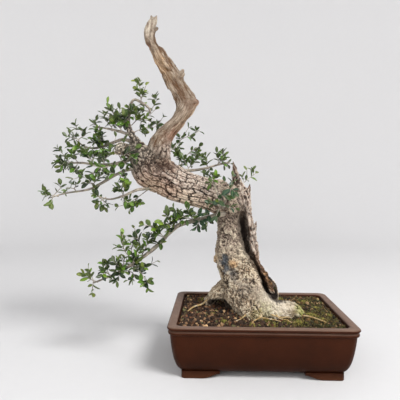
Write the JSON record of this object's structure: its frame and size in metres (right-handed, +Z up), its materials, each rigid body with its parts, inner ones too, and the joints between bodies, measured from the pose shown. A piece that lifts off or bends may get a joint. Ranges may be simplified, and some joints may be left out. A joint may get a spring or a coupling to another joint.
{
  "type": "olive bonsai",
  "caption": "Leaning old olive bonsai with a split trunk, bare deadwood top and sprays of small opposite leaves, in a rectangular unglazed clay pot.",
  "frame": {"origin": "the middle of the bounding box seen from above, at the level that the pot's feet stand on", "axes": "+Z up; +X to the right along the pot's long side, with the tree leaning to -X; +Y to the back"},
  "size_m": [0.5158, 0.226, 0.5936],
  "materials": {
    "pot_clay": "satin",
    "soil": "matte",
    "drainage_mesh": "matte",
    "bark": "matte",
    "branch_bark": "matte",
    "foliage": "satin"
  },
  "bodies": {
    "root": {"pot": "pot_clay", "drainage_mesh_left": "drainage_mesh", "drainage_mesh_right": "drainage_mesh", "soil": "soil", "trunk": "bark", "arched_top_branch": "branch_bark", "back_right_branch": "branch_bark", "elbow_branch": "branch_bark", "front_branch": "branch_bark", "left_back_branch": "branch_bark", "left_low_branch": "branch_bark", "left_middle_branch": "branch_bark", "left_upper_branch": "branch_bark", "lower_left_branch": "branch_bark", "back_middle_spray": "foliage", "back_right_inner_spray": "foliage", "back_right_middle_spray": "foliage", "back_right_outer_spray": "foliage", "back_upper_spray": "foliage", "elbow_low_spray": "foliage", "elbow_middle_spray": "foliage", "elbow_tip_spray": "foliage", "front_low_spray": "foliage", "front_middle_spray": "foliage", "front_right_spray": "foliage", "front_top_spray": "foliage", "left_back_inner_spray": "foliage", "left_back_outer_spray": "foliage", "left_back_tip_spray": "foliage", "left_front_spray": "foliage", "left_inner_spray": "foliage", "left_low_inner_spray": "foliage", "left_low_middle_spray": "foliage", "left_low_outer_spray": "foliage", "left_low_tip_spray": "foliage", "left_middle_centre_spray": "foliage", "left_middle_inner_spray": "foliage", "left_middle_outer_spray": "foliage", "left_middle_tip_spray": "foliage", "left_upper_high_spray": "foliage", "left_upper_middle_spray": "foliage", "left_upper_tip_spray": "foliage", "lower_inner_a_spray": "foliage", "lower_inner_b_spray": "foliage", "lower_inner_c_spray": "foliage", "lower_inner_d_spray": "foliage", "lower_inner_e_spray": "foliage", "lower_middle_spray": "foliage", "lower_outer_left_spray": "foliage", "lower_outer_right_spray": "foliage", "lower_shoot_down_spray": "foliage", "lower_shoot_left_spray": "foliage", "lower_shoot_middle_spray": "foliage", "lower_tip_spray": "foliage", "spike_shoot_spray": "foliage", "top_arch_tip_spray": "foliage", "top_inner_spray": "foliage", "top_right_low_spray": "foliage", "top_right_spray": "foliage", "top_shoot_spray": "foliage"}
  },
  "joints": []
}
